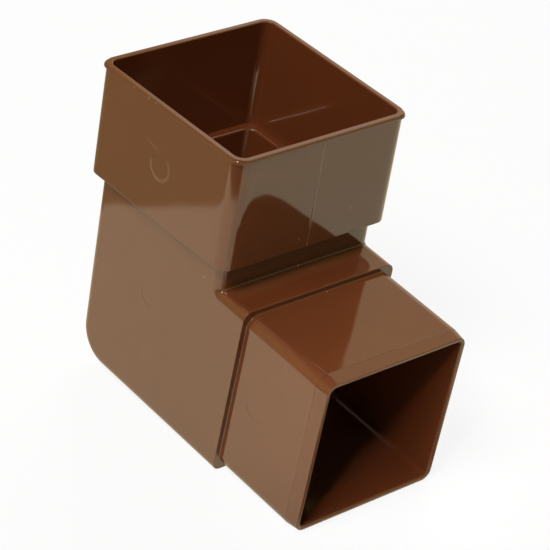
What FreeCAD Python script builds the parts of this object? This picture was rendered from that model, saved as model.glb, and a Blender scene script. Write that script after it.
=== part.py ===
import FreeCAD, Part
import math
import os

from FreeCAD import Placement, Rotation, Vector

# Downspout elbow: one moulded bend for square rainwater pipe. A short vertical leg carries
# the socket, and a nearly level leg carries the spigot. The origin is the centre of the
# stop in the socket, where the pipe from above ends. +Z runs up the socket, +X points out
# of the spigot, and the shape is symmetrical about the plane Y = 0, apart from three pin
# marks on the -Y side. Millimetres and degrees.

# The pipe that the elbow fits
pipe_width = 65.0
pipe_wall = 1.8

# Legs and bend
outlet_fall = 2.5
body_wall = 2.15
body_corner_radius = 3.4
bore_corner_radius = 3.0
heel_radius = 12.5
crotch_radius = 0.4
bend_drop = 42.0
collar_reach = 43.7
collar_edge_radius = 0.2

# Socket: the pipe from above slides in and stands on the stop
socket_clearance = 0.5
socket_wall = 2.25
socket_corner_radius = 4.4
pocket_corner_radius = 3.2
socket_depth = 38.9
socket_mouth_widening = 0.5
socket_floor = 1.8
socket_foot_radius = 0.3
stop_width = 3.05
stop_edge_radius = 0.8

# Bead round the socket's rim, with sharper corners than the wall below it
bead_height = 1.5
bead_proud = 0.4
bead_corner_radius = 3.6
bead_foot_radius = 0.2
rim_outer_radius = 1.2
rim_inner_radius = 0.4

# Spigot: goes into the pipe below, whose end stops at the collar
spigot_clearance = 0.55
spigot_wall = 2.35
spigot_corner_radius = 4.3
spigot_length = 39.1
spigot_root_radius = 0.3
lead_in_length = 4.9
lead_in_depth = 0.7
spigot_end_radius = 0.35
spigot_mouth_radius = 0.8

# Throat inside the lower leg, where the bore narrows to the spigot's
throat_length = 5.0

# Shallow round marks of the mould's pins on the -Y side
mark_diameter = 8.9
socket_mark_depth = 0.12
body_mark_depth = 0.05
spigot_mark_depth = 0.05
socket_mark_offset = -0.7
socket_mark_rise = 17.7
body_mark_rise = 10.6
spigot_mark_inset = 27.8
spigot_mark_rise = 1.8

# Sizes that follow
socket_bore = pipe_width + 2 * socket_clearance
socket_width = socket_bore + 2 * socket_wall
socket_mouth = socket_bore + 2 * socket_mouth_widening
rim_reach = bend_drop + socket_depth
socket_foot = bend_drop - socket_floor
body_bore = socket_bore - 2 * stop_width
body_width = body_bore + 2 * body_wall
spigot_width = pipe_width - 2 * pipe_wall - 2 * spigot_clearance
spigot_bore = spigot_width - 2 * spigot_wall
spigot_bore_corner = spigot_corner_radius - spigot_wall
spigot_reach = collar_reach + spigot_length
lead_in_reach = spigot_reach - lead_in_length

# Frames of the two legs: both start where the centre lines cross, and in each, local +Z
# runs outwards along the leg's centre line
CROSSING = Vector(0, 0, -bend_drop)
UPPER_LEG = Placement(CROSSING, Rotation())
LOWER_LEG = Placement(CROSSING, Rotation(Vector(0, 1, 0), 90 + outlet_fall))

# How near two lengths must be to count as equal when edges are picked
TOLERANCE = 0.001
# How far a cutting solid runs on past the face that it cuts
OVERCUT = 1.0


def section(width, corner_radius, leg, reach):
    """Closed wire of a square with round corners, across a leg at a distance along it."""
    half = width / 2
    flat = half - corner_radius
    edges = []
    for quarter in range(4):
        turn = Rotation(Vector(0, 0, 1), 90 * quarter)
        middle = corner_radius * math.sqrt(0.5)
        arc_start = turn.multVec(Vector(half, flat, 0))
        arc_middle = turn.multVec(Vector(flat + middle, flat + middle, 0))
        arc_end = turn.multVec(Vector(flat, half, 0))
        next_start = turn.multVec(Vector(-flat, half, 0))
        edges.append(Part.Arc(arc_start, arc_middle, arc_end).toShape())
        edges.append(Part.LineSegment(arc_end, next_start).toShape())
    wire = Part.Wire(edges)
    wire.Placement = leg.multiply(Placement(Vector(0, 0, reach), Rotation()))
    return wire


def bar(width, corner_radius, leg, start, end):
    """Straight solid bar of the rounded square section, between two distances along a leg."""
    face = Part.Face(section(width, corner_radius, leg, start))
    return face.extrude(leg.Rotation.multVec(Vector(0, 0, end - start)))


def drafted_bar(first_width, last_width, corner_radius, leg, start, end):
    """Solid bar whose four flat sides slope evenly along a leg, with one radius on its edges."""
    first = first_width / 2
    last = last_width / 2
    solid = Part.makeWedge(-first, start, -first, -last, -last, first, end, first, last, last)
    upright = Placement(Vector(), Rotation(Vector(1, 0, 0), 90))
    solid.Placement = leg.multiply(upright)
    to_leg = leg.inverse()
    long_edges = []
    for edge in solid.Edges:
        heights = [to_leg.multVec(vertex.Point).z for vertex in edge.Vertexes]
        if max(heights) - min(heights) > TOLERANCE:
            long_edges.append(edge)
    return solid.makeFillet(corner_radius, long_edges)


def taper(first_width, first_corner, last_width, last_corner, leg, start, end):
    """Solid that changes evenly from one rounded square section to another."""
    first = section(first_width, first_corner, leg, start)
    last = section(last_width, last_corner, leg, end)
    return Part.makeLoft([first, last], True, True)


def ring_edges(shape, width, leg, reach):
    """Edges of a shape that lie on the outline of a given width across a leg."""
    to_leg = leg.inverse()
    half = width / 2
    found = []
    for edge in shape.Edges:
        first, last = edge.ParameterRange
        points = [to_leg.multVec(edge.valueAt(t)) for t in (first, (first + last) / 2, last)]
        level = all(abs(point.z - reach) < TOLERANCE for point in points)
        ends = [points[0], points[-1]]
        on_outline = all(abs(max(abs(p.x), abs(p.y)) - half) < TOLERANCE for p in ends)
        if level and on_outline:
            found.append(edge)
    return found


def cross_edge(shape, corner):
    """The edge along Y that passes through a corner of the side outline."""
    def distance(edge):
        centre = edge.CenterOfMass
        return math.hypot(centre.x - corner.x, centre.z - corner.z)
    return min((e for e in shape.Edges if e.BoundBox.YLength > TOLERANCE), key=distance)


def bent_bar(width, corner_radius, outer_radius, inner_radius, top, reach):
    """Solid of the two legs as one bar: round heel outside the bend, small radius inside it."""
    half = width / 2
    fall = math.radians(outlet_fall)
    heel_along = half * (math.sin(fall) - 1) / math.cos(fall)
    heel = LOWER_LEG.multVec(Vector(half, 0, heel_along))
    crotch = LOWER_LEG.multVec(Vector(-half, 0, -heel_along))
    outline = [
        UPPER_LEG.multVec(Vector(-half, 0, top)),
        heel,
        LOWER_LEG.multVec(Vector(half, 0, reach)),
        LOWER_LEG.multVec(Vector(-half, 0, reach)),
        crotch,
        UPPER_LEG.multVec(Vector(half, 0, top)),
    ]
    side = Part.Face(Part.makePolygon(outline + outline[:1]))
    side.translate(Vector(0, -half, 0))
    solid = side.extrude(Vector(0, width, 0))
    solid = solid.makeFillet(outer_radius, [cross_edge(solid, heel)])
    solid = solid.makeFillet(inner_radius, [cross_edge(solid, crotch)])
    to_upper = UPPER_LEG.inverse()
    to_lower = LOWER_LEG.inverse()
    long_edges = []
    for edge in solid.Edges:
        centre = edge.CenterOfMass
        in_side = edge.BoundBox.YLength < TOLERANCE
        at_top = abs(to_upper.multVec(centre).z - top) < TOLERANCE
        at_end = abs(to_lower.multVec(centre).z - reach) < TOLERANCE
        if in_side and not at_top and not at_end:
            long_edges.append(edge)
    return solid.makeFillet(corner_radius, long_edges)


def body():
    """Outside of the two legs, up to the level of the stop and out to the collar."""
    solid = bent_bar(
        body_width, body_corner_radius, heel_radius, crotch_radius, bend_drop, collar_reach
    )
    collar = ring_edges(solid, body_width, LOWER_LEG, collar_reach)
    return solid.makeFillet(collar_edge_radius, collar)


def socket():
    """Outside of the socket with the bead round its rim."""
    wall = bar(socket_width, socket_corner_radius, UPPER_LEG, socket_foot, rim_reach)
    foot = ring_edges(wall, socket_width, UPPER_LEG, socket_foot)
    wall = wall.makeFillet(socket_foot_radius, foot)
    bead_width = socket_width + 2 * bead_proud
    bead_foot = rim_reach - bead_height
    bead = bar(bead_width, bead_corner_radius, UPPER_LEG, bead_foot, rim_reach)
    bead = bead.makeFillet(bead_foot_radius, ring_edges(bead, bead_width, UPPER_LEG, bead_foot))
    bead = bead.makeFillet(rim_outer_radius, ring_edges(bead, bead_width, UPPER_LEG, rim_reach))
    return wall.fuse(bead)


def spigot():
    """Outside of the spigot with the taper that leads it into the pipe."""
    shank = bar(spigot_width, spigot_corner_radius, LOWER_LEG, 0, lead_in_reach)
    end_width = spigot_width - 2 * lead_in_depth
    end_corner = spigot_corner_radius - lead_in_depth
    lead_in = taper(
        spigot_width, spigot_corner_radius, end_width, end_corner, LOWER_LEG, lead_in_reach, spigot_reach
    )
    lead_in = lead_in.makeFillet(
        spigot_end_radius, ring_edges(lead_in, end_width, LOWER_LEG, spigot_reach)
    )
    return shank.fuse(lead_in)


def hollow():
    """Everything that is empty inside: widening socket, bend, throat and spigot bore."""
    widening = 2 * socket_mouth_widening / socket_depth
    pocket = drafted_bar(
        socket_bore,
        socket_mouth + widening * OVERCUT,
        pocket_corner_radius,
        UPPER_LEG,
        bend_drop,
        rim_reach + OVERCUT,
    )
    bore_crotch_radius = crotch_radius + body_wall
    throat_start = body_bore / 2 + bore_crotch_radius
    throat_end = throat_start + throat_length
    bend = bent_bar(
        body_bore,
        bore_corner_radius,
        heel_radius - body_wall,
        bore_crotch_radius,
        bend_drop + OVERCUT,
        throat_start,
    )
    throat = taper(
        body_bore, bore_corner_radius, spigot_bore, spigot_bore_corner, LOWER_LEG, throat_start, throat_end
    )
    outlet = bar(spigot_bore, spigot_bore_corner, LOWER_LEG, throat_end, spigot_reach + OVERCUT)
    return pocket.fuse([bend, throat, outlet])


def pin_mark(centre, depth):
    """Cutting disc of one shallow pin mark in a face that looks towards -Y."""
    disc_start = centre - Vector(0, OVERCUT, 0)
    return Part.makeCylinder(mark_diameter / 2, depth + OVERCUT, disc_start, Vector(0, 1, 0))


def pin_marks():
    """The three marks: on the socket, on the body and on the spigot."""
    socket_centre = Vector(socket_mark_offset, -socket_width / 2, bend_drop + socket_mark_rise)
    body_centre = Vector(0, -body_width / 2, body_mark_rise)
    spigot_centre = Vector(-spigot_mark_rise, -spigot_width / 2, spigot_reach - spigot_mark_inset)
    return [
        pin_mark(UPPER_LEG.multVec(socket_centre), socket_mark_depth),
        pin_mark(UPPER_LEG.multVec(body_centre), body_mark_depth),
        pin_mark(LOWER_LEG.multVec(spigot_centre), spigot_mark_depth),
    ]


def elbow():
    """The whole moulding as one solid."""
    solid = body().fuse([socket(), spigot()]).removeSplitter()
    root = ring_edges(solid, spigot_width, LOWER_LEG, collar_reach)
    solid = solid.makeFillet(spigot_root_radius, root)
    solid = solid.cut(hollow())
    stop_edge = ring_edges(solid, body_bore, UPPER_LEG, bend_drop)
    solid = solid.makeFillet(stop_edge_radius, stop_edge)
    rim = ring_edges(solid, socket_mouth, UPPER_LEG, rim_reach)
    solid = solid.makeFillet(rim_inner_radius, rim)
    mouth = ring_edges(solid, spigot_bore, LOWER_LEG, spigot_reach)
    solid = solid.makeFillet(spigot_mouth_radius, mouth)
    return solid.cut(pin_marks())


os.makedirs("parts", exist_ok=True)
part = elbow()
part.exportStep("parts/downspout_elbow.step")
print("solids", len(part.Solids), "valid", part.isValid(), "volume mm3", round(part.Volume, 1))
print("box", part.BoundBox)
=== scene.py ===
import math

import bmesh
import bpy
from mathutils import Matrix, Vector


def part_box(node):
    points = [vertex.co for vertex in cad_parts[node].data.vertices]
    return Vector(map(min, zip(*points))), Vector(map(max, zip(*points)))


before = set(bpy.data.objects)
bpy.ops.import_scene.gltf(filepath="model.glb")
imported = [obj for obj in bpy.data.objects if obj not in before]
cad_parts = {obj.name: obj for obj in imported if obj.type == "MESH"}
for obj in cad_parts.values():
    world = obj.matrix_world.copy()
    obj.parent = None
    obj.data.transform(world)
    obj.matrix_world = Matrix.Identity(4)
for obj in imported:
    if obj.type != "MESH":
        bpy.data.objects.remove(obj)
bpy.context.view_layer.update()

# Downspout elbow in glossy brown plastic, on a plain pale floor. Metres, in the same frame as
# the solid: the origin is the centre of the stop in the socket, +Z runs up the socket and +X
# points out of the spigot.
#
# Places on the elbow and on the floor are given in millimetres. A pair that is no place, way or
# noise is a soft edge: what it marks is absent at its first number and full at its second. Two
# such pairs are a stretch, with its soft start and its soft end. A row of three for wear or
# dullness is a soft edge in a noise, followed by the most that it adds.

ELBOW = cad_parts["downspout_elbow"]
MM = 0.001
WHITE = (1.0, 1.0, 1.0, 1.0)

# Camera
PICTURE_WIDTH = 550
SENSOR_WIDTH = 36.0
CAMERA_AZIMUTH = math.radians(44.627)
CAMERA_ELEVATION = math.radians(32.491)
CAMERA_ROLL = math.radians(10.022)
CAMERA_DISTANCE = 0.873896
CAMERA_FOCUS_PIXELS = 2596.36
CAMERA_AIM = Vector((0.008139, 0.015527, -0.033626))
CAMERA_CLIP_START = 0.01
CAMERA_CLIP_END = 20.0

# Sizes of the elbow that its material follows
BEND_DROP = 42.0
OUTLET_FALL = math.radians(2.5)
SOCKET_FLAT = 30.85
BODY_FLAT = 28.7
POCKET_DRAFT = 0.0128
LEAD_IN = 77.9
LEAD_IN_SLOPE = 0.1414
PIN_MARK = (-0.7, 17.7)
PIN_MARK_RADIUS = 4.45

# Where the surface runs along its leg, clear of the small roundings at the ends
OUTSIDE_SOCKET_WALL = (33.9, 34.1)
INSIDE_SOCKET_WALL = (33.9, 33.7)
SOCKET_OUTSIDE_Z = ((-1.50, -1.40), (37.40, 37.30))
SOCKET_INSIDE_Z = ((0.02, 0.12), (38.45, 38.35))
UPPER_BODY_Z = ((-10.6, -10.4), (-1.83, -1.90))
UPPER_BODY_X = (33.0, 32.8)
COLLAR_ALONG = ((37.0, 37.5), (43.50, 43.40))
SPIGOT_ALONG = ((44.00, 44.10), (81.95, 81.85))
LEAD_IN_ALONG = (LEAD_IN - 0.05, LEAD_IN + 0.05)
OUTSIDE_SPIGOT_WALL = (28.2, 28.6)

# Gentle curve of the flat faces
FACE_REACH = (20.0, 30.0)
SOCKET_FOOT_Z = (-2.0, -1.8)
UPPER_LEG_X = (43.7, 42.7)
CROWN_WIDTH = 5.0
FRONT_CROWN_LEAN = math.radians(7.0)
SIDE_CROWN_LEAN = math.radians(3.5)
SEAM_REACH_Y = (20.0, 8.0)
SEAM_LEAN = math.radians(0.25)
SEAM_TILT = math.radians(0.5)

# Plastic
BROWN = (0.123, 0.0328, 0.0108, 1.0)
WORN_BROWN = (0.150, 0.047, 0.019, 1.0)
# Paler colour of nicks, and of the painted highlights at the seam and the pin mark
SCUFF_AND_HIGHLIGHT_BROWN = (0.42, 0.27, 0.18, 1.0)
# Darker colour of the dark spot, the groove and the taper's line, and of the painted shade under the
# socket's foot
DIRT_AND_SHADE_BROWN = (0.020, 0.007, 0.004, 1.0)
PLASTIC_IOR = 1.54
SPECULAR_LEVEL = 1.0
GLOSS = 0.055
CLOUD_WEAR = (0.35, 0.75, 0.12)
SPECK_WEAR = (0.66, 0.80, 0.10)
CLOUD_DULLNESS = (0.40, 0.70, 0.02)
SPECK_DULLNESS = (0.60, 0.80, 0.03)
WAVE_HEIGHT = 0.28

# Noises, each with its scale and detail
CLOUDS = (60.0, 4.0)
SPECKS = (1400.0, 2.0)
WAVES = (31.25, 1.0)
RAGGED_EDGE = (900.0, 2.0)
SLOW_WANDER = (120.0, 1.0)
LINE_UNEVENNESS = (500.0, 1.0)

# Seam of the mould down the socket's front face, with a groove beside it. The ridge is painted paler,
# partly wear and partly a painted highlight where it catches the light; the groove is painted darker.
SEAM_FACE_X = (34.0, 34.6)
SEAM_FACE_Z = ((-2.3, -1.8), (37.6, 37.0))
SEAM_RAGGEDNESS = 0.25
SEAM_WANDER = 0.6
SEAM_HEIGHT = 0.03
RIDGE_WIDTH = (0.34, 0.06)
RIDGE_LEAST = 0.2
RIDGE_WEAR_AND_HIGHLIGHT = 0.55
GROOVE_PLACE = -0.45
GROOVE_WIDTH = (0.32, 0.06)
GROOVE_Z = ((4.0, 8.0), (24.0, 16.0))
GROOVE_DARKENING = 0.8

# Line round the spigot where its taper starts, with a small step in it
LINE_WIDTH = (0.30, 0.05)
LINE_WOBBLE = 0.2
LINE_STEP = 0.35
LINE_STEP_Y = (2.5, 3.5)
LINE_DEPTH = 0.02
LINE_DARKENING = 0.35

# Painted shade on the body under the socket's foot: darker colour where the socket's overhang shades it
FOOT_SHADE_X = (31.5, 32.0)
FOOT_SHADE_Z = ((-9.0, -2.5), (-1.8, -1.9))
FOOT_SHADE = 0.6

# Painted highlight and painted reflections at the socket's pin mark: a thin bright edge, a faint pale band
# and a pale trail off its top, paler colour where the mark's slopes would catch the light. Each has the
# way that it faces from the mark's centre, as x and z.
PIN_MARK_Y = (-34.0, -35.0)
EDGE_WAY = (-0.75, -0.66)
EDGE_START = (1.5, 4.0)
EDGE_WIDTH = (0.40, 0.10)
EDGE_HIGHLIGHT = 0.55
BAND_WAY = (0.85, -0.50)
BAND_START = (-0.5, 2.5)
BAND_PLACE = 0.2
BAND_WIDTH = (0.9, 0.2)
BAND_REFLECTION = 0.16
TRAIL_WAY = (-0.965, 0.263)
TRAIL_REACH = ((1.5, 5.0), (9.8, 6.5))
TRAIL_PLACE = 4.34
TRAIL_WIDTH = (1.1, 0.1)
TRAIL_SHEEN = 0.08

# Small nicks, each with its place, its radius and how pale it is, and one dark spot
NICKS = (
    (35.3, 17.0, 8.1, 0.45, 0.9),
    (35.3, 10.7, 1.5, 0.40, 0.6),
    (35.3, 11.7, 2.4, 0.35, 0.4),
    (35.3, -4.1, 2.3, 0.60, 0.3),
    (35.3, -5.0, 1.2, 0.40, 0.3),
    (24.2, -32.1, -10.3, 0.35, 0.7),
    (32.1, 0.9, -11.0, 0.50, 0.6),
    (44.4, 2.5, -12.0, 0.40, 0.6),
    (45.4, 2.6, -13.9, 0.40, 0.7),
    (-9.8, -35.5, 38.2, 0.45, 0.5),
    (-6.2, -35.5, 38.3, 0.40, 0.4),
    (-17.6, -35.6, 38.2, 0.40, 0.3),
)
DARK_SPOT = (35.3, 18.4, 1.9, 0.45)
SPOT_CORE = 0.3

# Floor: what the camera sees of it
FLOOR_HALF = 3.0
FLOOR_DIFFUSE = (0.72, 0.74, 0.80, 1.0)
FLOOR_SHADE = 0.16
FLOOR_LIFT = 1.04

# Floor in reflections: a pale area that is duller at its far end, and dimmer past its edge and near the
# elbow, with a painted shadow in front of the spigot's mouth, where its reflected colour is darkened to
# stand in for the elbow's shadow
PALE_REFLECTION = (1.10, 0.88, 0.57, 1.0)
FAR_REFLECTION = (0.84, 0.71, 0.48, 1.0)
OUTER_REFLECTION = (0.50, 0.38, 0.18, 1.0)
NEAR_REFLECTION = (0.16, 0.12, 0.06, 1.0)
MOUTH_SHADOW_REFLECTION = (0.28, 0.20, 0.11, 1.0)
FAR_START = (-20.0, 60.0)
PALE_EDGE_PLACE = (-95.8, -122.0)
PALE_EDGE_WAY = (-0.913, -0.408)
PALE_EDGE = (-3.0, 3.0)
NEAR_RADIUS = (215.0, 223.0)
NEAR_WAY = (-0.58, -1.0)
NEAR_START = (-15.0, 15.0)
NEAR_X = (-115.0, -75.0)
MOUTH_X = ((82.0, 90.0), (136.0, 124.0))
MOUTH_MIDDLE_Y = -20.0
MOUTH_REACH_Y = (80.0, 55.0)

# Surroundings in reflections, placed by direction: a pale side, brighter low down, in a dim
# round, darker overhead
SIDE_REFLECTION = (0.58, 0.54, 0.32, 1.0)
LOW_SIDE_REFLECTION = (1.00, 0.82, 0.62, 1.0)
ROUND_REFLECTION = (0.53, 0.37, 0.14, 1.0)
OVERHEAD_REFLECTION = (0.15, 0.12, 0.09, 1.0)
SIDE_X = (0.15, -0.10)
SIDE_TURN = (0.70, 0.74)
SIDE_TOP = (0.86, 0.76)
LOW_SIDE_TURN = (0.64, 0.69)
LOW_SIDE_TOP = (0.575, 0.55)
OVERHEAD_Z = (0.70, 0.80)

# Lamps
WORLD_LIGHT = 0.04
LAMP_COLOUR = (1.0, 0.95, 0.86)
LAMP_DISTANCE = 1.5
KEY_DIRECTION = Vector((0.11, -0.58, 0.81))
KEY_SIZE = 0.60
KEY_LIGHT = 0.73
GLINT_SIZE = 0.30
GLINT_LIGHT = 0.22
GLINT_DISTANCE = 1.3
TOP_DIRECTION = Vector((-0.5, 0.6, 0.62))
TOP_SIZE = 0.8
TOP_LIGHT = 0.45
LOW_DIRECTION = Vector((-0.25, -0.93, 0.27))
LOW_SIZE = 0.5
LOW_LIGHT = 0.04
MOUTH_LAMP_DIRECTION = Vector((0.30, -0.64, 0.70))
MOUTH_LAMP_AIM = Vector((0.080, 0.006, -0.052))
MOUTH_LAMP_DISTANCE = 0.5
MOUTH_LAMP_RADIUS = 0.045
MOUTH_LAMP_CONE = math.radians(7.6)
MOUTH_LIGHT = 1.35


class Output:
    """A node's output. Arithmetic on one that carries a number adds Math nodes to its tree."""

    def __init__(self, nodes, socket):
        self.nodes = nodes
        self.socket = socket

    def __abs__(self):
        return self.nodes.math("ABSOLUTE", self)

    def __add__(self, other):
        return self.nodes.math("ADD", self, other)

    def __sub__(self, other):
        return self.nodes.math("SUBTRACT", self, other)

    def __mul__(self, other):
        return self.nodes.math("MULTIPLY", self, other)

    def __truediv__(self, other):
        return self.nodes.math("DIVIDE", self, other)

    def __radd__(self, other):
        return self.nodes.math("ADD", other, self)

    def __rsub__(self, other):
        return self.nodes.math("SUBTRACT", other, self)

    def __rmul__(self, other):
        return self.nodes.math("MULTIPLY", other, self)

    def __rtruediv__(self, other):
        return self.nodes.math("DIVIDE", other, self)


class Nodes:
    """The node tree of a material or of the world, which starts empty."""

    def __init__(self, owner):
        owner.use_nodes = True
        self.tree = owner.node_tree
        self.tree.nodes.clear()

    def node(self, kind, settings=None, inputs=None, output=0):
        """Adds a node: its settings come first, then the values or links of its sockets."""
        made = self.tree.nodes.new(kind)
        for name, value in (settings or {}).items():
            setattr(made, name, value)
        for name, value in (inputs or {}).items():
            socket = made.inputs[name]
            if isinstance(value, Output):
                self.tree.links.new(value.socket, socket)
            else:
                socket.default_value = value
        return Output(self, made.outputs[output]) if made.outputs else None

    def math(self, operation, *values):
        """One step of arithmetic on numbers."""
        return self.node("ShaderNodeMath", {"operation": operation}, dict(enumerate(values)))

    def length(self, first, second):
        """Length of a line from its parts along two axes."""
        return self.math("SQRT", first * first + second * second)

    def larger(self, first, second):
        """The larger of two distances from an axis, on either side of it."""
        return self.math("MAXIMUM", abs(first), abs(second))

    def parts(self, vector):
        """The three numbers of a vector."""
        return [self.node("ShaderNodeSeparateXYZ", inputs={0: vector}, output=axis) for axis in "XYZ"]

    def step(self, value, start, end):
        """0 before the start, 1 past the end and a smooth change between."""
        return self.node("ShaderNodeMapRange", {"interpolation_type": "SMOOTHSTEP"}, {
            "Value": value, "From Min": start, "From Max": end})

    def stretch(self, value, start, end):
        """1 on the stretch between a soft start and a soft end."""
        return self.step(value, *start) * self.step(value, *end)

    def ramp(self, value, start, end):
        """0 before the start, 1 past the end and an even change between."""
        return self.node("ShaderNodeMapRange", {}, {
            "Value": value, "From Min": start, "From Max": end})

    def noise(self, place, scale, detail):
        """Smooth noise from 0 to 1, even in all directions."""
        return self.node("ShaderNodeTexNoise", {"noise_dimensions": "3D"}, {
            "Vector": place, "Scale": scale, "Detail": detail}, output="Fac")

    def patches(self, noise, start, end, most):
        """The patches where a noise is high, with the most that they add."""
        return self.step(noise, start, end) * most

    def mix(self, share, first, second):
        """A colour between two colours."""
        return self.node("ShaderNodeMix", {"data_type": "RGBA"}, {0: share, 6: first, 7: second}, output=2)

    def vector_math(self, operation, *vectors, output="Vector"):
        """One step of arithmetic on vectors."""
        settings = {"operation": operation}
        return self.node("ShaderNodeVectorMath", settings, dict(enumerate(vectors)), output)

    def mix_shaders(self, share, first, second):
        """A surface between two surfaces."""
        return self.node("ShaderNodeMixShader", inputs={0: share, 1: first, 2: second})


def place_camera():
    """Camera that looks at the aim point from the photograph's side, turned by its roll."""
    back = Vector((
        math.sin(CAMERA_AZIMUTH) * math.cos(CAMERA_ELEVATION),
        -math.cos(CAMERA_AZIMUTH) * math.cos(CAMERA_ELEVATION),
        math.sin(CAMERA_ELEVATION),
    ))
    level_right = Vector((math.cos(CAMERA_AZIMUTH), math.sin(CAMERA_AZIMUTH), 0.0))
    level_up = back.cross(level_right)
    right = level_right * math.cos(CAMERA_ROLL) + level_up * math.sin(CAMERA_ROLL)
    up = level_up * math.cos(CAMERA_ROLL) - level_right * math.sin(CAMERA_ROLL)
    lens = bpy.data.cameras.new("camera")
    lens.sensor_width = SENSOR_WIDTH
    lens.lens = CAMERA_FOCUS_PIXELS * SENSOR_WIDTH / PICTURE_WIDTH
    lens.clip_start = CAMERA_CLIP_START
    lens.clip_end = CAMERA_CLIP_END
    camera = bpy.data.objects.new("camera", lens)
    turn = Matrix((right, up, back)).transposed().to_4x4()
    camera.matrix_world = Matrix.Translation(CAMERA_AIM + back * CAMERA_DISTANCE) @ turn
    bpy.context.scene.collection.objects.link(camera)
    bpy.context.scene.camera = camera


def lower_leg(x, z):
    """How far a place is along the lower leg, and how far above that leg's middle."""
    raised = z + BEND_DROP
    along = x * math.cos(OUTLET_FALL) - raised * math.sin(OUTLET_FALL)
    above = x * math.sin(OUTLET_FALL) + raised * math.cos(OUTLET_FALL)
    return along, above


def way_along(first, second, way):
    """How far a place is from the origin of its two axes in a direction."""
    return first * way[0] + second * way[1]


def upright_share(nodes, x, y, z):
    """Where a surface of the upper leg runs along the leg, and where that is in the pocket."""
    from_axis = nodes.larger(x, y)
    socket = nodes.step(from_axis, *OUTSIDE_SOCKET_WALL) * nodes.stretch(z, *SOCKET_OUTSIDE_Z)
    pocket = nodes.step(from_axis, *INSIDE_SOCKET_WALL) * nodes.stretch(z, *SOCKET_INSIDE_Z)
    body = nodes.stretch(z, *UPPER_BODY_Z) * nodes.step(x, *UPPER_BODY_X)
    return socket + pocket + body, pocket


def level_share(nodes, along, above, y):
    """Where a surface of the lower leg runs along the leg, and where it is the spigot's taper."""
    spigot = nodes.stretch(along, *SPIGOT_ALONG)
    taper = spigot * nodes.step(along, *LEAD_IN_ALONG)
    outside = nodes.step(nodes.larger(y, above), *OUTSIDE_SPIGOT_WALL)
    return nodes.stretch(along, *COLLAR_ALONG) + spigot, taper * outside


def crown(nodes, past_flat):
    """Rises from 0 to 1 towards a rounded corner, slowly at first."""
    rise = nodes.ramp(past_flat, -CROWN_WIDTH, 0.0)
    return rise * rise * rise


def leaning_normal(nodes, x, y, z):
    """Normal that is true to each leg, on faces that curve gently towards their corners."""
    normal = nodes.node("ShaderNodeNewGeometry", output="Normal")
    normal_x, normal_y, normal_z = nodes.parts(normal)
    upright, pocket = upright_share(nodes, x, y, z)
    along, above = lower_leg(x, z)
    level, taper = level_share(nodes, along, above, y)
    normal_along = normal_x * math.cos(OUTLET_FALL) - normal_z * math.sin(OUTLET_FALL)
    lean_along = taper * LEAD_IN_SLOPE - level * normal_along
    upright_lean = pocket * POCKET_DRAFT - upright * normal_z

    faces_x = nodes.step(x * normal_x, *FACE_REACH)
    faces_y = nodes.step(y * normal_y, *FACE_REACH)
    in_socket = nodes.step(z, *SOCKET_FOOT_Z)
    flat = in_socket * (SOCKET_FLAT - BODY_FLAT) + BODY_FLAT
    half = nodes.math("SIGN", y)
    front_lean = crown(nodes, abs(y) - flat) * half * FRONT_CROWN_LEAN
    seam_lean = nodes.step(abs(y), *SEAM_REACH_Y) * (half * SEAM_LEAN - SEAM_TILT)
    side_lean = crown(nodes, x - flat) * SIDE_CROWN_LEAN
    lean = nodes.node("ShaderNodeCombineXYZ", inputs={
        "X": faces_y * in_socket * side_lean + lean_along * math.cos(OUTLET_FALL),
        "Y": faces_x * nodes.step(x, *UPPER_LEG_X) * (front_lean + seam_lean),
        "Z": upright_lean - lean_along * math.sin(OUTLET_FALL),
    })
    return nodes.vector_math("NORMALIZE", nodes.vector_math("ADD", normal, lean))


def spot(nodes, place, centre, radius):
    """1 in the middle of a small round spot and 0 past its radius."""
    middle = [part * MM for part in centre]
    distance = nodes.vector_math("DISTANCE", place, middle, output="Value") / MM
    return nodes.step(distance, radius, radius * SPOT_CORE)


def seam_marks(nodes, place, x, y, z):
    """The seam's ridge and the groove beside it."""
    ragged = nodes.noise(place, *RAGGED_EDGE)
    wander = nodes.noise(place, *SLOW_WANDER)
    middle = (SEAM_RAGGEDNESS + SEAM_WANDER) / 2.0
    across = y + ragged * SEAM_RAGGEDNESS + wander * SEAM_WANDER - middle
    face = nodes.step(x, *SEAM_FACE_X) * nodes.stretch(z, *SEAM_FACE_Z)
    ridge = nodes.step(abs(across), *RIDGE_WIDTH) * (ragged + RIDGE_LEAST)
    groove = nodes.step(abs(across - GROOVE_PLACE), *GROOVE_WIDTH) * nodes.stretch(z, *GROOVE_Z)
    return ridge * face, groove * face


def lead_in_line(nodes, place, x, y, z):
    """The line round the outside of the spigot where its taper starts."""
    along, above = lower_leg(x, z)
    outside = nodes.step(nodes.larger(y, above), *OUTSIDE_SPIGOT_WALL)
    wobble = nodes.noise(place, *LINE_UNEVENNESS) * LINE_WOBBLE - LINE_WOBBLE / 2.0
    from_line = along + nodes.step(y, *LINE_STEP_Y) * LINE_STEP + wobble - LEAD_IN
    return nodes.step(abs(from_line), *LINE_WIDTH) * outside


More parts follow.
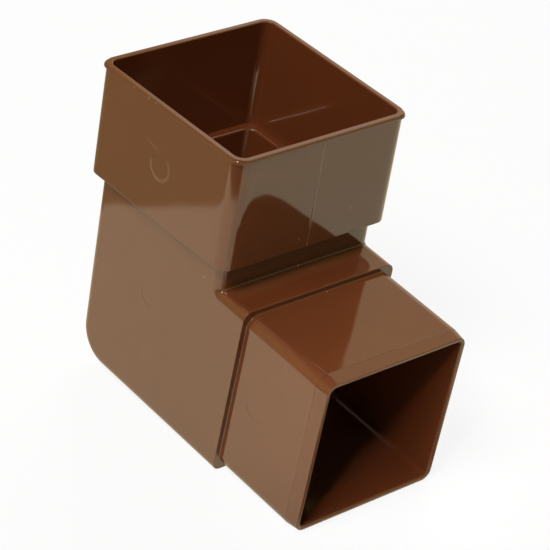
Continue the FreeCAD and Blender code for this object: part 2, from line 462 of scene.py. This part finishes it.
def pin_mark_highlights(nodes, x, y, z):
    """How pale the painted highlight and painted reflections at the socket's pin mark are."""
    mark_x = x - PIN_MARK[0]
    mark_z = z - PIN_MARK[1]
    past_edge = nodes.length(mark_x, mark_z) - PIN_MARK_RADIUS
    edge = nodes.step(abs(past_edge), *EDGE_WIDTH)
    edge = edge * nodes.step(way_along(mark_x, mark_z, EDGE_WAY), *EDGE_START)
    band = nodes.step(abs(past_edge - BAND_PLACE), *BAND_WIDTH)
    band = band * nodes.step(way_along(mark_x, mark_z, BAND_WAY), *BAND_START)
    trail_across = way_along(mark_x, mark_z, (TRAIL_WAY[1], -TRAIL_WAY[0]))
    trail = nodes.step(abs(trail_across - TRAIL_PLACE), *TRAIL_WIDTH)
    trail = trail * nodes.stretch(way_along(mark_x, mark_z, TRAIL_WAY), *TRAIL_REACH)
    scuffs_and_highlights = edge * EDGE_HIGHLIGHT + band * BAND_REFLECTION + trail * TRAIL_SHEEN
    return scuffs_and_highlights * nodes.step(y, *PIN_MARK_Y)


def brown_plastic():
    """Glossy moulded plastic with gently uneven faces, a seam and the marks of its mould, with painted
    highlights at the seam's ridge and the pin mark and painted shade under the socket's foot.
    """
    material = bpy.data.materials.new("brown_plastic")
    nodes = Nodes(material)
    place = nodes.node("ShaderNodeTexCoord", output="Object")
    x, y, z = [part / MM for part in nodes.parts(place)]

    clouds = nodes.noise(place, *CLOUDS)
    specks = nodes.noise(place, *SPECKS)
    wear = nodes.patches(clouds, *CLOUD_WEAR) + nodes.patches(specks, *SPECK_WEAR)
    roughness = GLOSS + nodes.patches(clouds, *CLOUD_DULLNESS) + nodes.patches(specks, *SPECK_DULLNESS)

    ridge, groove = seam_marks(nodes, place, x, y, z)
    line = lead_in_line(nodes, place, x, y, z)
    # Paler colour: nicks, wear and a painted highlight on the seam's ridge, and a painted highlight and
    # painted reflections at the pin mark
    scuffs_and_highlights = ridge * RIDGE_WEAR_AND_HIGHLIGHT + pin_mark_highlights(nodes, x, y, z)
    for *centre, radius, share in NICKS:
        scuffs_and_highlights = scuffs_and_highlights + spot(nodes, place, centre, radius) * share
    # Darker colour: painted shade under the socket's foot, darkening along the seam's groove and the
    # taper's line, and the dark spot
    shade_under_foot = nodes.stretch(z, *FOOT_SHADE_Z) * nodes.step(x, *FOOT_SHADE_X)
    dirt_and_shade = groove * GROOVE_DARKENING + line * LINE_DARKENING + shade_under_foot * FOOT_SHADE
    *centre, radius = DARK_SPOT
    dirt_and_shade = dirt_and_shade + spot(nodes, place, centre, radius)
    worn = nodes.mix(wear, BROWN, WORN_BROWN)
    colour = nodes.mix(dirt_and_shade, nodes.mix(scuffs_and_highlights, worn, SCUFF_AND_HIGHLIGHT_BROWN), DIRT_AND_SHADE_BROWN)

    waves = nodes.noise(place, *WAVES)
    height = waves * WAVE_HEIGHT + (ridge - groove) * SEAM_HEIGHT - line * LINE_DEPTH
    normal = nodes.node("ShaderNodeBump", inputs={
        "Height": height, "Distance": MM, "Normal": leaning_normal(nodes, x, y, z)})
    surface = nodes.node("ShaderNodeBsdfPrincipled", inputs={
        "Base Color": colour,
        "Roughness": roughness,
        "IOR": PLASTIC_IOR,
        "Specular IOR Level": SPECULAR_LEVEL,
        "Normal": normal,
    })
    nodes.node("ShaderNodeOutputMaterial", inputs={"Surface": surface})
    return material


def floor_material():
    """Pale floor: white with a soft shadow to the camera, and warm and uneven in reflections, with a
    painted shadow in front of the spigot's mouth.
    """
    material = bpy.data.materials.new("floor")
    nodes = Nodes(material)
    to_camera = nodes.node("ShaderNodeLightPath", output="Is Camera Ray")
    to_gloss = nodes.node("ShaderNodeLightPath", output="Is Glossy Ray")
    place = nodes.node("ShaderNodeTexCoord", output="Object")
    x, y, _ = [part / MM for part in nodes.parts(place)]

    far = nodes.step(x + y, *FAR_START)
    # Painted shadow: the reflected floor is darkened in front of the spigot's mouth
    mouth = nodes.stretch(x, *MOUTH_X) * nodes.step(abs(y - MOUTH_MIDDLE_Y), *MOUTH_REACH_Y)
    past_edge = way_along(x - PALE_EDGE_PLACE[0], y - PALE_EDGE_PLACE[1], PALE_EDGE_WAY)
    outer = nodes.step(past_edge, *PALE_EDGE)
    near_side = nodes.step(way_along(x, y, NEAR_WAY), *NEAR_START) * nodes.step(x, *NEAR_X)
    near = nodes.step(nodes.length(x, y), *NEAR_RADIUS) * near_side
    reflected = nodes.mix(far, PALE_REFLECTION, FAR_REFLECTION)
    reflected = nodes.mix(mouth, reflected, MOUTH_SHADOW_REFLECTION)
    reflected = nodes.mix(outer, reflected, OUTER_REFLECTION)
    reflected = nodes.mix(near, reflected, NEAR_REFLECTION)

    diffuse = nodes.node("ShaderNodeBsdfDiffuse", inputs={"Color": FLOOR_DIFFUSE})
    white = nodes.node("ShaderNodeEmission", inputs={"Color": WHITE, "Strength": FLOOR_LIFT})
    mirrored = nodes.node("ShaderNodeEmission", inputs={"Color": reflected})
    seen = nodes.mix_shaders(to_camera * (1.0 - FLOOR_SHADE), diffuse, white)
    nodes.node("ShaderNodeOutputMaterial", inputs={"Surface": nodes.mix_shaders(to_gloss, seen, mirrored)})
    return material


def make_floor():
    """Level square floor at the elbow's lowest edge."""
    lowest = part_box("downspout_elbow")[0].z
    shape = bmesh.new()
    level = Matrix.Translation((0.0, 0.0, lowest))
    bmesh.ops.create_grid(shape, x_segments=1, y_segments=1, size=FLOOR_HALF, matrix=level)
    mesh = bpy.data.meshes.new("floor")
    shape.to_mesh(mesh)
    shape.free()
    floor = bpy.data.objects.new("floor", mesh)
    floor.data.materials.append(floor_material())
    bpy.context.scene.collection.objects.link(floor)


def make_world():
    """Faint even light from all sides: white to the camera, and warm and uneven in reflections."""
    world = bpy.data.worlds.new("studio")
    bpy.context.scene.world = world
    nodes = Nodes(world)
    to_camera = nodes.node("ShaderNodeLightPath", output="Is Camera Ray")
    to_gloss = nodes.node("ShaderNodeLightPath", output="Is Glossy Ray")
    x, y, z = nodes.parts(nodes.node("ShaderNodeTexCoord", output="Generated"))

    turn = y / nodes.length(x, y)
    on_side = nodes.step(x, *SIDE_X)
    side = nodes.step(turn, *SIDE_TURN) * on_side * nodes.step(z, *SIDE_TOP)
    low_side = nodes.step(turn, *LOW_SIDE_TURN) * on_side * nodes.step(z, *LOW_SIDE_TOP)
    reflected = nodes.mix(nodes.step(z, *OVERHEAD_Z), ROUND_REFLECTION, OVERHEAD_REFLECTION)
    reflected = nodes.mix(side, reflected, SIDE_REFLECTION)
    reflected = nodes.mix(low_side, reflected, LOW_SIDE_REFLECTION)

    faint = nodes.node("ShaderNodeBackground", inputs={"Color": WHITE, "Strength": WORLD_LIGHT})
    white = nodes.node("ShaderNodeBackground", inputs={"Color": WHITE})
    mirrored = nodes.node("ShaderNodeBackground", inputs={"Color": reflected})
    seen = nodes.mix_shaders(to_camera, faint, white)
    nodes.node("ShaderNodeOutputWorld", inputs={"Surface": nodes.mix_shaders(to_gloss, seen, mirrored)})


def place_lamp(lamp_data, direction, distance, aim):
    """Puts a lamp at a distance from the point that it shines on, in a direction from it."""
    towards = direction.normalized()
    lamp = bpy.data.objects.new(lamp_data.name, lamp_data)
    lamp.location = aim + towards * distance
    lamp.rotation_mode = "QUATERNION"
    lamp.rotation_quaternion = towards.to_track_quat("Z", "Y")
    bpy.context.scene.collection.objects.link(lamp)
    return lamp


def area_lamp(name, direction, size, light, distance=LAMP_DISTANCE):
    """Square lamp that gives a surface facing it this much of plain light."""
    lamp_data = bpy.data.lights.new(name, "AREA")
    lamp_data.shape = "SQUARE"
    lamp_data.size = size
    lamp_data.color = LAMP_COLOUR
    lamp_data.energy = light * (math.pi * distance) ** 2
    return place_lamp(lamp_data, direction, distance, Vector())


def mouth_lamp():
    """Small soft spot lamp that shines into the spigot's mouth."""
    lamp_data = bpy.data.lights.new("mouth", "SPOT")
    lamp_data.color = LAMP_COLOUR
    lamp_data.energy = 4.0 * MOUTH_LIGHT * (math.pi * MOUTH_LAMP_DISTANCE) ** 2
    lamp_data.spot_size = MOUTH_LAMP_CONE
    lamp_data.spot_blend = 1.0
    lamp_data.shadow_soft_size = MOUTH_LAMP_RADIUS
    return place_lamp(lamp_data, MOUTH_LAMP_DIRECTION, MOUTH_LAMP_DISTANCE, MOUTH_LAMP_AIM)


def make_lamps():
    """All lamps. Only the small one by the key shows in the gloss, as small bright glints."""
    area_lamp("glint", KEY_DIRECTION, GLINT_SIZE, GLINT_LIGHT, GLINT_DISTANCE)
    unmirrored = (
        area_lamp("key", KEY_DIRECTION, KEY_SIZE, KEY_LIGHT),
        area_lamp("top", TOP_DIRECTION, TOP_SIZE, TOP_LIGHT),
        area_lamp("low", LOW_DIRECTION, LOW_SIZE, LOW_LIGHT),
        mouth_lamp(),
    )
    for lamp in unmirrored:
        lamp.visible_glossy = False


place_camera()
ELBOW.material_slots[0].material = brown_plastic()
make_floor()
make_world()
make_lamps()

bpy.context.scene.view_settings.view_transform = "Standard"
